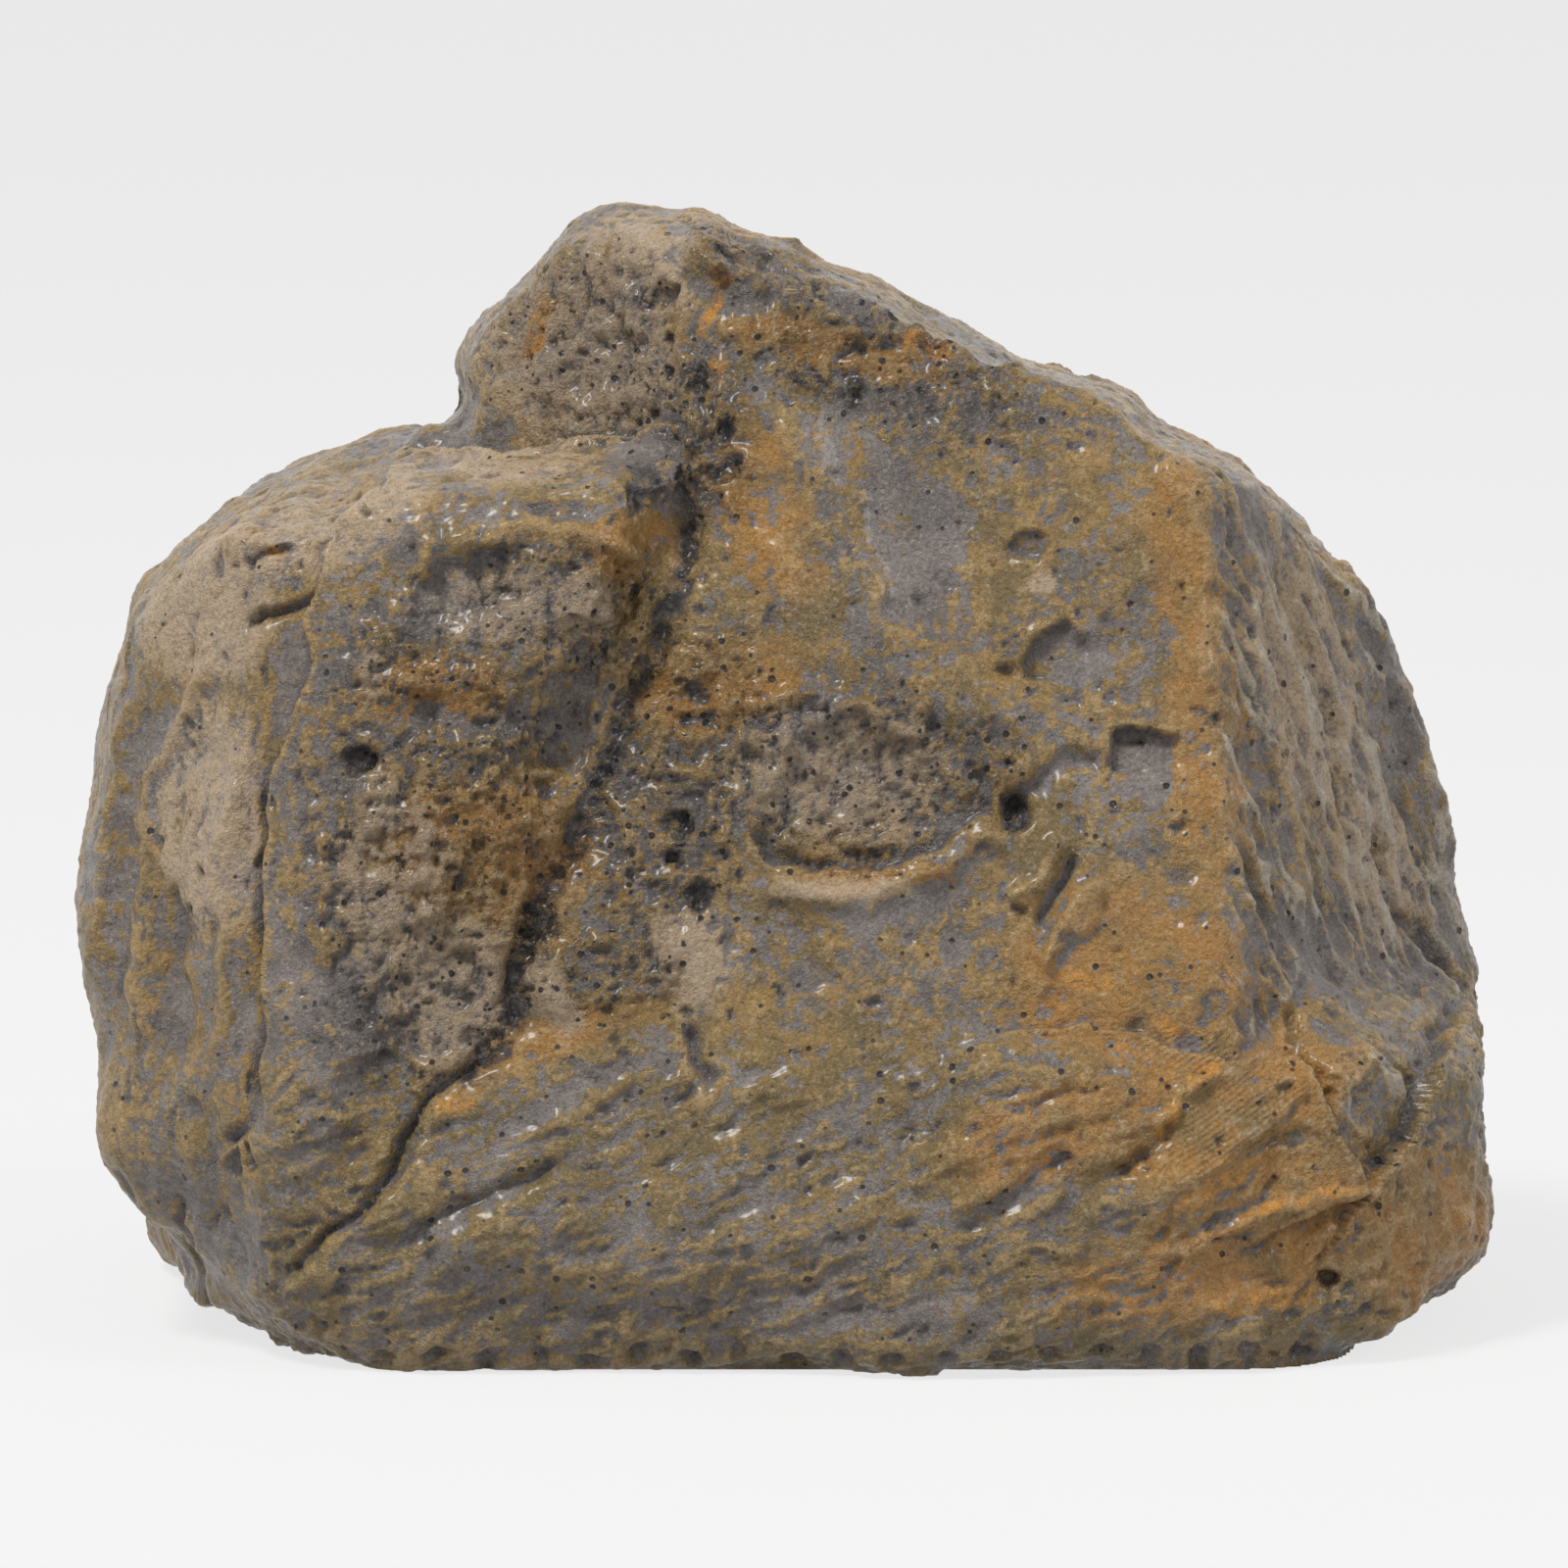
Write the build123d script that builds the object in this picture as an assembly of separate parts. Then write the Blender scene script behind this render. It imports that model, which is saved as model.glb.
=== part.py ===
from build123d import *
from math import cos, radians, sin
import os

# Hide-a-key rock: a cast resin stone, with a moulded tray let into its underside.
# The tray holds a well for one door key, closed by a small hinged door.
# X runs along the stone, Y from its front to its back, Z up from the face it stands on.

# --- the cast stone -------------------------------------------------------
ROCK_WIDTH = 106.5
ROCK_DEPTH = 69.5
ROCK_HEIGHT = 83.0
# The size that the facets below were drawn at
DRAWN_WIDTH = 106.5
DRAWN_DEPTH = 69.5
DRAWN_HEIGHT = 83.0
BLANK = 200.0  # side of the blank that every lump of the stone is cut from

# Each facet: its turn from the front (right is positive), its upward lean, and a point on it.
# Main lump: the broad front face and the steep face on the right
MAIN_LUMP = (
    (1, 15, 0, -32, 12),
    (0, -8, 0, -32, 12),
    (-48, -6, -37, -28.5, 10),
    (-70, -58, -41, -10, 3),
    (60, 9, 31, -21, 55),
    (85, 43, 40.6, 5, 57.2),
    (85, 19, 47.6, 5, 45),
    (88, 8, 50.8, 5, 29),
    (88, -10, 51.5, 5, 12),
    (88, -45, 49, 5, 4),
    (90, 66, 8.8, -10, 75.8),
    (90, 56, 27, -10, 67.2),
    (180, 66, 0, 12, 75),
    (175, 22, 0, 32, 38),
    (180, -12, 0, 33, 14),
    (125, 14, 38, 25, 30),
    (-60, 30.3, -6, -17.8, 64),
    (-140, 18, -25, 26, 40),
    (-90, 0, -42, 0, 12),
)
# Lower right lump, with a ledge on top of it
FOOT_LUMP = (
    (14, 10, 38, -29.5, 12),
    (14, -9, 38, -29.5, 12),
    (16, 62, 38, -27.5, 22),
    (50, 6, 46, -22, 14),
    (88, 6, 52, -10, 14),
    (80, -42, 49.5, -10, 4),
    (70, 55, 49, -10, 22),
    (-60, 20, 8, -30, 12),
    (180, 0, 0, 10, 0),
    (0, 2, 20, -32.6, 12),
)
# Left front lump, parted from the main lump by the long slanting crack
BULGE_LUMP = (
    (-2, 13, -24, -31, 24),
    (0, -10, -24, -31.5, 14),
    (-78, 6, -36.5, -28, 36),
    (-84, 40, -33, -20, 60),
    (-30, 80, -20, -15, 64.5),
    (60, -17.6, -8, -18.2, 64),
    (180, 20, -30, 0, 36),
    (-55, -35, -39, -27, 8),
)
# Left flank, set back behind the left front lump
FLANK_LUMP = (
    (0, 12, -40, -27.5, 30),
    (0, -14, -40, -28, 12),
    (-48, 8, -41, -25.5, 30),
    (-40, -22, -41, -25.5, 12),
    (-88, 8, -51.7, 0, 36),
    (-88, -9, -51.7, 0, 26),
    (-85, -32, -48.5, 0, 11),
    (-70, -60, -42.5, 0, 3),
    (-90, 17, -49.7, 0, 48),
    (-90, 45, -45.3, 0, 56),
    (-88, 66, -37, 0, 61.8),
    (-60, 80, -28, 0, 64),
    (178, 56, -32, 16, 62),
    (178, 20, -30, 29.5, 36),
    (180, -14, -30, 29.5, 14),
    (-130, 12, -46, 18, 30),
    (90, 0, -18, 0, 0),
)
# Peak, with the ridge that runs down its front
PEAK_LUMP = (
    (-36, 12, -7.5, -15.5, 68),
    (-85, 10, -24.3, 0, 68),
    (-88, 46, -22, 0, 75),
    (1, 15, -8, -17, 68),
    (-70, 74, -14, 0, 81),
    (90, 64.5, 8.8, -10, 76),
    (180, 66, -12, 9, 80),
    (175, 20, -12, 24, 55),
    (90, 45, 6, 0, 71),
    (90, 5, 12, 0, 60),
    (0, -90, 0, 0, 42),
)
# Back lump, which fills the back behind the flank and the peak
BACK_LUMP = (
    (180, 20, -12, 32, 36),
    (180, -14, -12, 32.5, 14),
    (-140, 14, -34, 27, 34),
    (-150, 52, -16, 18, 62),
    (-95, 60, -16, 5, 72),
    (90, 12, 8, 0, 50),
    (-95, 18, -38, 0, 34),
    (-95, -18, -39, 0, 12),
    (0, 5, 0, -4, 30),
)
LUMPS = (MAIN_LUMP, FOOT_LUMP, BULGE_LUMP, FLANK_LUMP, PEAK_LUMP, BACK_LUMP)

# --- the key well ---------------------------------------------------------
WELL_X = 3.5  # centre of the well and of the tray
WELL_Y = -2.0  # the well sits forward of the tray's centre, which leaves room for the hinge
WELL_LENGTH = 60.0
WELL_WIDTH = 27.0
WELL_DEPTH = 14.0
WELL_CORNER = 3.5
WELL_WALL = 1.6

# --- the tray and its seat in the stone -----------------------------------
FLANGE_END = 4.4  # the tray's flange past the well's wall, at either end
FLANGE_SIDE = 10.9  # half of what the flange adds from front to back
TRAY_CORNER = 6.0
TRAY_THICKNESS = 2.4
TRAY_BASE = 3.6  # height of the tray's underside
TRAY_EDGE = 0.4  # bevel round the flange's lower edge
SEAT_GAP = 0.5  # round the tray's edge
TUB_GAP = 1.0  # round the well's outside, in the stone
GASKET_THICKNESS = 0.8
GASKET_HOLE_GAP = 0.2

# --- screws and cast-in inserts -------------------------------------------
SCREW_INSET_X = 4.5  # from the tray's edge to a screw
SCREW_INSET_Y = 4.0
SCREW_RADIUS = 1.25
SCREW_LENGTH = 10.0
HEAD_RADIUS = 2.3
HEAD_HEIGHT = 1.6
HEAD_ROUND = 0.7
RECESS_LENGTH = 2.6
RECESS_WIDTH = 0.55
RECESS_DEPTH = 0.9
SCREW_HOLE_GAP = 0.2
INSERT_RADIUS = 2.2
INSERT_LENGTH = 7.0
INSERT_GROOVE = 0.3
INSERT_GROOVE_LENGTH = 1.6
THREAD_GAP = 0.03
INSERT_FIT = 0.02
TIP_SPACE = 1.0

# --- the door and its hinge -----------------------------------------------
DOOR_THICKNESS = 1.8
DOOR_GAP = 0.2  # between the door and the tray
DOOR_MARGIN = 3.2  # the door past the well's mouth, on every side
DOOR_CORNER = 4.0
DOOR_EDGE = 0.4  # bevel round the door's outer face
HINGE_RADIUS = 1.7
HINGE_SETBACK = 2.7  # from the door panel's back edge to the hinge axis
HINGE_DROP = 1.1  # from the tray's underside down to the hinge axis
PIN_RADIUS = 0.75
PIN_BEVEL = 0.2
PIN_FIT = 0.05  # running clearance in the door's knuckle
LUG_FIT = 0.02
KNUCKLE_LENGTH = 35.2
LUG_LENGTH = 5.0
LUG_GAP = 0.4
HINGE_RELIEF = 0.5
TAB_WIDTH = 11.0
TAB_REACH = 1.3
CATCH_WIDTH = 12.0
CATCH_THICKNESS = 1.2
CATCH_HEIGHT = 3.0
CATCH_GAP = 0.45
RIB_COUNT = 5
RIB_PITCH = 2.4
RIB_WIDTH = 1.0
RIB_HEIGHT = 0.5
RIB_LENGTH = 16.0
NOTCH_WIDTH = 16.0
NOTCH_DEPTH = 1.4
NOTCH_REACH = 6.6  # from the tray's front edge

# --- soft parts -----------------------------------------------------------
SEAL_INSET = 0.8  # from the well's mouth to the seal
SEAL_WIDTH = 1.6
SEAL_GROOVE = 1.0
SEAL_CLEAR = 0.1  # left between the seal and the door
PAD_THICKNESS = 1.5
PAD_MARGIN = 2.0

# --- what follows from those sizes ----------------------------------------
TRAY_TOP = TRAY_BASE + TRAY_THICKNESS
LEDGE = TRAY_TOP + GASKET_THICKNESS
WELL_CEILING = TRAY_BASE + WELL_DEPTH
TUB_TOP = WELL_CEILING + WELL_WALL
TUB_LENGTH = WELL_LENGTH + 2 * WELL_WALL
TUB_WIDTH = WELL_WIDTH + 2 * WELL_WALL
TUB_CORNER = WELL_CORNER + WELL_WALL
TRAY_LENGTH = TUB_LENGTH + 2 * FLANGE_END
TRAY_WIDTH = TUB_WIDTH + 2 * FLANGE_SIDE
DOOR_TOP = TRAY_BASE - DOOR_GAP
DOOR_BOTTOM = DOOR_TOP - DOOR_THICKNESS
DOOR_LENGTH = WELL_LENGTH + 2 * DOOR_MARGIN
DOOR_WIDTH = WELL_WIDTH + 2 * DOOR_MARGIN
DOOR_FRONT = WELL_Y - DOOR_WIDTH / 2
DOOR_BACK = WELL_Y + DOOR_WIDTH / 2
HINGE_Y = DOOR_BACK + HINGE_SETBACK
HINGE_Z = TRAY_BASE - HINGE_DROP
SCREW_SPACING_X = TRAY_LENGTH - 2 * SCREW_INSET_X
SCREW_SPACING_Y = TRAY_WIDTH - 2 * SCREW_INSET_Y
SCREW_PLACES = [
    (WELL_X + side_x * SCREW_SPACING_X / 2, side_y * SCREW_SPACING_Y / 2)
    for side_x in (-1, 1)
    for side_y in (-1, 1)
]


def slab(length, width, corner, bottom, top, x=WELL_X, y=0.0):
    """A round-cornered plate, lying level between two heights."""
    outline = Pos(x, y, bottom) * RectangleRounded(length, width, corner)
    return extrude(outline, amount=top - bottom, dir=(0, 0, 1))


def post(radius, bottom, top, place):
    """An upright cylinder between two heights."""
    return Pos(place[0], place[1], bottom) * Cylinder(
        radius, top - bottom, align=(Align.CENTER, Align.CENTER, Align.MIN)
    )


def hinge_rod(radius, start, end):
    """A cylinder on the hinge axis, from one X to another, counted from the well's centre."""
    rod = Rot(0, 90, 0) * Cylinder(radius, end - start)
    return Pos(WELL_X + (start + end) / 2, HINGE_Y, HINGE_Z) * rod


def block(x_span, y_span, z_span):
    """A box between two values on each axis."""
    size = [span[1] - span[0] for span in (x_span, y_span, z_span)]
    middle = [(span[0] + span[1]) / 2 for span in (x_span, y_span, z_span)]
    return Pos(*middle) * Box(*size)


def lowest_edges(piece):
    """The edges round a piece's lowest face."""
    return piece.faces().sort_by(Axis.Z)[0].edges()


def ring(margin_in, margin_out, bottom, top):
    """A band round the well's mouth, between two margins from it."""
    outer = slab(
        WELL_LENGTH + 2 * margin_out,
        WELL_WIDTH + 2 * margin_out,
        WELL_CORNER + margin_out,
        bottom,
        top,
        y=WELL_Y,
    )
    inner = slab(
        WELL_LENGTH + 2 * margin_in,
        WELL_WIDTH + 2 * margin_in,
        WELL_CORNER + margin_in,
        bottom,
        top,
        y=WELL_Y,
    )
    return outer - inner


def lump(facets):
    """One convex lump of stone: a blank cut flat along each facet, and on the ground."""
    stone = Pos(0, 0, BLANK / 2) * Box(BLANK, BLANK, BLANK)
    for turn, lean, x, y, z in facets:
        level = cos(radians(lean))
        outward = (sin(radians(turn)) * level, -cos(radians(turn)) * level, sin(radians(lean)))
        point = (
            x * ROCK_WIDTH / DRAWN_WIDTH,
            y * ROCK_DEPTH / DRAWN_DEPTH,
            z * ROCK_HEIGHT / DRAWN_HEIGHT,
        )
        stone = split(stone, bisect_by=Plane(origin=point, z_dir=outward), keep=Keep.BOTTOM)
    return stone


def make_rock_shell():
    stone = lump(LUMPS[0])
    for facets in LUMPS[1:]:
        stone += lump(facets)
    stone -= slab(
        TRAY_LENGTH + 2 * SEAT_GAP,
        TRAY_WIDTH + 2 * SEAT_GAP,
        TRAY_CORNER + SEAT_GAP,
        0,
        LEDGE,
    )
    stone -= slab(
        TUB_LENGTH + 2 * TUB_GAP,
        TUB_WIDTH + 2 * TUB_GAP,
        TUB_CORNER + TUB_GAP,
        LEDGE,
        TUB_TOP + TUB_GAP,
        y=WELL_Y,
    )
    for place in SCREW_PLACES:
        stone -= post(INSERT_RADIUS + INSERT_FIT, LEDGE, LEDGE + INSERT_LENGTH + TIP_SPACE, place)
    return stone


def make_base_tray():
    tray = slab(TRAY_LENGTH, TRAY_WIDTH, TRAY_CORNER, TRAY_BASE, TRAY_TOP)
    tray = chamfer(lowest_edges(tray), TRAY_EDGE)
    tray += slab(TUB_LENGTH, TUB_WIDTH, TUB_CORNER, TRAY_TOP, TUB_TOP, y=WELL_Y)
    tray -= slab(WELL_LENGTH, WELL_WIDTH, WELL_CORNER, TRAY_BASE, WELL_CEILING, y=WELL_Y)
    tray -= ring(SEAL_INSET, SEAL_INSET + SEAL_WIDTH, TRAY_BASE, TRAY_BASE + SEAL_GROOVE)
    relief = KNUCKLE_LENGTH / 2 + LUG_GAP
    tray -= hinge_rod(HINGE_RADIUS + HINGE_RELIEF, -relief, relief)
    for side in (-1, 1):
        start, end = sorted((side * relief, side * (relief + LUG_LENGTH)))
        tray += hinge_rod(HINGE_RADIUS, start, end)
        tray += block(
            (WELL_X + start, WELL_X + end),
            (HINGE_Y - HINGE_RADIUS, HINGE_Y + HINGE_RADIUS),
            (HINGE_Z, TRAY_BASE),
        )
        tray -= hinge_rod(PIN_RADIUS + LUG_FIT, start, end)
    for place in SCREW_PLACES:
        tray -= post(SCREW_RADIUS + SCREW_HOLE_GAP, TRAY_BASE, TRAY_TOP, place)
    tray -= block(
        (WELL_X - NOTCH_WIDTH / 2, WELL_X + NOTCH_WIDTH / 2),
        (-TRAY_WIDTH / 2, -TRAY_WIDTH / 2 + NOTCH_REACH),
        (TRAY_BASE, TRAY_BASE + NOTCH_DEPTH),
    )
    return tray


def make_tray_gasket():
    gasket = slab(TRAY_LENGTH, TRAY_WIDTH, TRAY_CORNER, TRAY_TOP, LEDGE)
    gasket -= slab(
        TUB_LENGTH + 2 * TUB_GAP,
        TUB_WIDTH + 2 * TUB_GAP,
        TUB_CORNER + TUB_GAP,
        TRAY_TOP,
        LEDGE,
        y=WELL_Y,
    )
    for place in SCREW_PLACES:
        gasket -= post(SCREW_RADIUS + GASKET_HOLE_GAP, TRAY_TOP, LEDGE, place)
    return gasket


def make_screw(place):
    head_bottom = TRAY_BASE - HEAD_HEIGHT
    screw = post(HEAD_RADIUS, head_bottom, TRAY_BASE, place)
    screw = fillet(lowest_edges(screw), HEAD_ROUND)
    screw += post(SCREW_RADIUS, TRAY_BASE, TRAY_BASE + SCREW_LENGTH, place)
    for length, width in ((RECESS_LENGTH, RECESS_WIDTH), (RECESS_WIDTH, RECESS_LENGTH)):
        screw -= block(
            (place[0] - length / 2, place[0] + length / 2),
            (place[1] - width / 2, place[1] + width / 2),
            (head_bottom, head_bottom + RECESS_DEPTH),
        )
    return screw


def make_insert(place):
    top = LEDGE + INSERT_LENGTH
    groove_bottom = LEDGE + (INSERT_LENGTH - INSERT_GROOVE_LENGTH) / 2
    groove_top = groove_bottom + INSERT_GROOVE_LENGTH
    insert = post(INSERT_RADIUS, LEDGE, groove_bottom, place)
    insert += post(INSERT_RADIUS - INSERT_GROOVE, groove_bottom, groove_top, place)
    insert += post(INSERT_RADIUS, groove_top, top, place)
    return insert - post(SCREW_RADIUS + THREAD_GAP, LEDGE, top, place)


def make_door():
    door = slab(DOOR_LENGTH, DOOR_WIDTH, DOOR_CORNER, DOOR_BOTTOM, DOOR_TOP, y=WELL_Y)
    door = chamfer(lowest_edges(door), DOOR_EDGE)
    door += block(
        (WELL_X - TAB_WIDTH / 2, WELL_X + TAB_WIDTH / 2),
        (DOOR_FRONT - TAB_REACH, DOOR_FRONT + TAB_REACH),
        (DOOR_BOTTOM, DOOR_TOP),
    )
    catch_front = WELL_Y - WELL_WIDTH / 2 + CATCH_GAP
    door += block(
        (WELL_X - CATCH_WIDTH / 2, WELL_X + CATCH_WIDTH / 2),
        (catch_front, catch_front + CATCH_THICKNESS),
        (DOOR_TOP, DOOR_TOP + CATCH_HEIGHT),
    )
    for step in range(RIB_COUNT):
        rib_y = DOOR_FRONT + RIB_PITCH * (step + 1)
        door += block(
            (WELL_X - RIB_LENGTH / 2, WELL_X + RIB_LENGTH / 2),
            (rib_y - RIB_WIDTH / 2, rib_y + RIB_WIDTH / 2),
            (DOOR_BOTTOM - RIB_HEIGHT, DOOR_BOTTOM),
        )
    door += block(
        (WELL_X - KNUCKLE_LENGTH / 2, WELL_X + KNUCKLE_LENGTH / 2),
        (DOOR_BACK - DOOR_THICKNESS, HINGE_Y),
        (DOOR_BOTTOM, DOOR_TOP),
    )
    door += hinge_rod(HINGE_RADIUS, -KNUCKLE_LENGTH / 2, KNUCKLE_LENGTH / 2)
    return door - hinge_rod(PIN_RADIUS + PIN_FIT, -KNUCKLE_LENGTH / 2, KNUCKLE_LENGTH / 2)


def make_hinge_pin():
    reach = KNUCKLE_LENGTH / 2 + LUG_GAP + LUG_LENGTH
    pin = hinge_rod(PIN_RADIUS, -reach, reach)
    ends = pin.edges().filter_by(GeomType.CIRCLE)
    return chamfer(ends, PIN_BEVEL)


def make_door_gasket():
    return ring(
        SEAL_INSET,
        SEAL_INSET + SEAL_WIDTH,
        TRAY_BASE - DOOR_GAP + SEAL_CLEAR,
        TRAY_BASE + SEAL_GROOVE,
    )


def make_key_pad():
    return slab(
        WELL_LENGTH - 2 * PAD_MARGIN,
        WELL_WIDTH - 2 * PAD_MARGIN,
        WELL_CORNER,
        WELL_CEILING - PAD_THICKNESS,
        WELL_CEILING,
        y=WELL_Y,
    )


PIECES = {
    "rock_shell": make_rock_shell(),
    "base_tray": make_base_tray(),
    "tray_gasket": make_tray_gasket(),
    "tray_screws": Compound([make_screw(place).solid() for place in SCREW_PLACES]),
    "screw_inserts": Compound([make_insert(place).solid() for place in SCREW_PLACES]),
    "door": make_door(),
    "hinge_pin": make_hinge_pin(),
    "door_gasket": make_door_gasket(),
    "key_pad": make_key_pad(),
}

# The origin lies under the middle of the stone, on the face it stands on
stone_box = PIECES["rock_shell"].bounding_box()
to_origin = Pos(
    -(stone_box.min.X + stone_box.max.X) / 2,
    -(stone_box.min.Y + stone_box.max.Y) / 2,
    -stone_box.min.Z,
)

os.makedirs("parts", exist_ok=True)
for name, piece in PIECES.items():
    export_step(to_origin * piece, f"parts/{name}.step")
print("stone", stone_box.size)
print("well centre", (to_origin * Pos(WELL_X, WELL_Y, TRAY_BASE)).position)
print("hinge axis", (to_origin * Pos(WELL_X, HINGE_Y, HINGE_Z)).position)
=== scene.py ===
import math

import bpy
import numpy as np
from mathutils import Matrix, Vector
from mathutils.kdtree import KDTree


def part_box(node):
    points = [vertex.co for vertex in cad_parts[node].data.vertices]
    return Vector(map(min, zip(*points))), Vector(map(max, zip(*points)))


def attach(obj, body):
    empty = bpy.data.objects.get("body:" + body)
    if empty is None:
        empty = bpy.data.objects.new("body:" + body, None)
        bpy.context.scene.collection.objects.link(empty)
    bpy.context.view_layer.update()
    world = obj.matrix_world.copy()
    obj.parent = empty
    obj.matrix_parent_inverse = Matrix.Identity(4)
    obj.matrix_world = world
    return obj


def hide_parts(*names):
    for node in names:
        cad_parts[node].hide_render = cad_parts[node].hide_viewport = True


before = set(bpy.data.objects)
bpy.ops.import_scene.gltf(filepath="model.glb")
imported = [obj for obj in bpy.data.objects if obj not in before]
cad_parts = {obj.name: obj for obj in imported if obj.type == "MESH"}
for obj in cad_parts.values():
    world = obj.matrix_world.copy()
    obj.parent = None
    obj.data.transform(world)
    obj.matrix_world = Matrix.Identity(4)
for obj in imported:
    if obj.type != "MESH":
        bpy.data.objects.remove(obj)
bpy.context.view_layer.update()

MM = 0.001


# ---------------------------------------------------------------------------
# The picture: a stone cut out on white, seen from a little above its front.
# The camera comes first, because the relief of the stone is placed through it.

PICTURE = 1600  # pixels a side
VIEW_ELEVATION = math.radians(8)
VIEW_DISTANCE = 0.70
PICTURE_WIDTH = 0.1179  # what the frame spans at the target
VIEW_TARGET = Vector((-0.4, -1.75, 39.0)) * MM
VIEW_BACK = Vector((0, -math.cos(VIEW_ELEVATION), math.sin(VIEW_ELEVATION)))
VIEW_UP = Vector((0, math.sin(VIEW_ELEVATION), math.cos(VIEW_ELEVATION)))

lens = bpy.data.cameras.new("picture_camera")
lens.sensor_width = 36
lens.angle = 2 * math.atan(PICTURE_WIDTH / 2 / VIEW_DISTANCE)
lens.clip_start = 0.01
camera = bpy.data.objects.new("picture_camera", lens)
camera.location = VIEW_TARGET + VIEW_BACK * VIEW_DISTANCE
camera.rotation_euler = (math.pi / 2 - VIEW_ELEVATION, 0, 0)
bpy.context.scene.collection.objects.link(camera)
bpy.context.scene.camera = camera


def seen_at(points):
    """Where points of the stone fall in the picture, in its own pixels."""
    apart = points - np.array(camera.location)
    depth = -apart @ np.array(VIEW_BACK)
    scale = PICTURE / PICTURE_WIDTH * VIEW_DISTANCE / depth
    across = PICTURE / 2 + apart[:, 0] * scale
    down = PICTURE / 2 - (apart @ np.array(VIEW_UP)) * scale
    return np.stack([across, down], 1)


# ---------------------------------------------------------------------------
# The stone: polyester resin filled with stone powder, poured in a rubber mould
# taken from a modelled rock, so it has the tool strokes and bubbles of the master.
# It is one casting, with the seat for the tray in its underside.

GRAIN = 0.32 * MM  # spacing of the surface's points
SOFTEN = 70  # rounds of easing, which take the facets' edges off
SOFTEN_FOOT = 200  # more rounds, where the stone turns under
FOOT_HEIGHT = 16 * MM
UNDER_FLANK = (-30 * MM, 30 * MM)  # left of the first and below the second it turns under too
STANDING_RING = 2.5 * MM  # what it stands on, round the seat
STANDING_HEIGHT = 0.15 * MM
SEAT_MARGIN = 0.9 * MM
SEAT_TOP_MARGIN = 1.6 * MM
SEAT_CORNER = 6 * MM


def copy_of(node, name):
    """A new piece with the shape of a node of the frame."""
    piece = bpy.data.objects.new(name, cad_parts[node].data.copy())
    piece.data.name = name
    bpy.context.scene.collection.objects.link(piece)
    return piece


def settled(piece):
    """Apply a piece's modifiers to its mesh."""
    seen = piece.evaluated_get(bpy.context.evaluated_depsgraph_get())
    mesh = bpy.data.meshes.new_from_object(seen)
    piece.modifiers.clear()
    piece.data = mesh
    mesh.name = piece.name
    return piece


stone = copy_of("rock_shell", "painted_rock")
grid = stone.modifiers.new("grid", "REMESH")
grid.mode = "VOXEL"
grid.voxel_size = GRAIN
settled(stone)

count = len(stone.data.vertices)
places = np.empty(count * 3)
stone.data.vertices.foreach_get("co", places)
places = places.reshape(-1, 3)
links = np.empty(len(stone.data.edges) * 2, dtype=np.int64)
stone.data.edges.foreach_get("vertices", links)
links = links.reshape(-1, 2)
valence = np.bincount(links.ravel(), minlength=count)


def neighbours_mean(values):
    """Each point's mean over the points it is joined to."""
    total = np.zeros_like(values)
    for axis in range(values.shape[1]):
        total[:, axis] = np.bincount(links[:, 0], values[links[:, 1], axis], count)
        total[:, axis] += np.bincount(links[:, 1], values[links[:, 0], axis], count)
    return total / valence[:, None]


def eased(values, rounds, hold=None):
    """Values spread over the surface, except where they are held."""
    for _ in range(rounds):
        spread = values + (neighbours_mean(values) - values) * 0.6
        values = spread if hold is None else np.where(hold[:, None], values, spread)
    return values


def normals_at(points):
    """The surface's outward direction at each point."""
    stone.data.vertices.foreach_set("co", points.ravel())
    stone.data.update()
    out = np.empty(count * 3)
    stone.data.vertices.foreach_get("normal", out)
    return out.reshape(-1, 3)


# The seat and the ring that the stone stands on keep the shape that the tray was fitted to
tray_low, tray_high = (np.array(corner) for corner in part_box("base_tray"))
beyond = np.abs(places - (tray_low + tray_high) / 2) - (tray_high - tray_low) / 2 + SEAT_CORNER
beyond_seat = np.hypot(*np.maximum(beyond[:, :2], 0).T) - SEAT_CORNER
in_seat = (beyond_seat < SEAT_MARGIN) & (places[:, 2] < tray_high[2] + SEAT_TOP_MARGIN)
on_ground = (beyond_seat < STANDING_RING) & (places[:, 2] < STANDING_HEIGHT)
held = in_seat | on_ground
places = eased(places, SOFTEN, held)
under_flank = (places[:, 0] < UNDER_FLANK[0]) & (places[:, 2] < UNDER_FLANK[1])
places = eased(places, SOFTEN_FOOT, held | ((places[:, 2] > FOOT_HEIGHT) & ~under_flank))
places[:, 2] = np.maximum(places[:, 2], 0)
facing = normals_at(places)

HASH = (374761393, 668265263, 2147483647, 1274126177)  # large odd numbers, which mix the bits well


def smooth(low, high, value):
    """0 below low, 1 above high, and a soft rise between them."""
    share = np.clip((value - low) / (high - low), 0, 1)
    return share * share * (3 - 2 * share)


def lattice(cells, seed):
    """A repeatable value from 0 to 1 for each cell corner."""
    mixed = cells[:, 0] * HASH[0] + cells[:, 1] * HASH[1] + cells[:, 2] * HASH[2] + seed * HASH[3]
    mixed = (mixed ^ (mixed >> 13)) * HASH[3]
    mixed = mixed ^ (mixed >> 16)
    return (mixed & 0xFFFFFF).astype(float) / 0xFFFFFF


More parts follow.
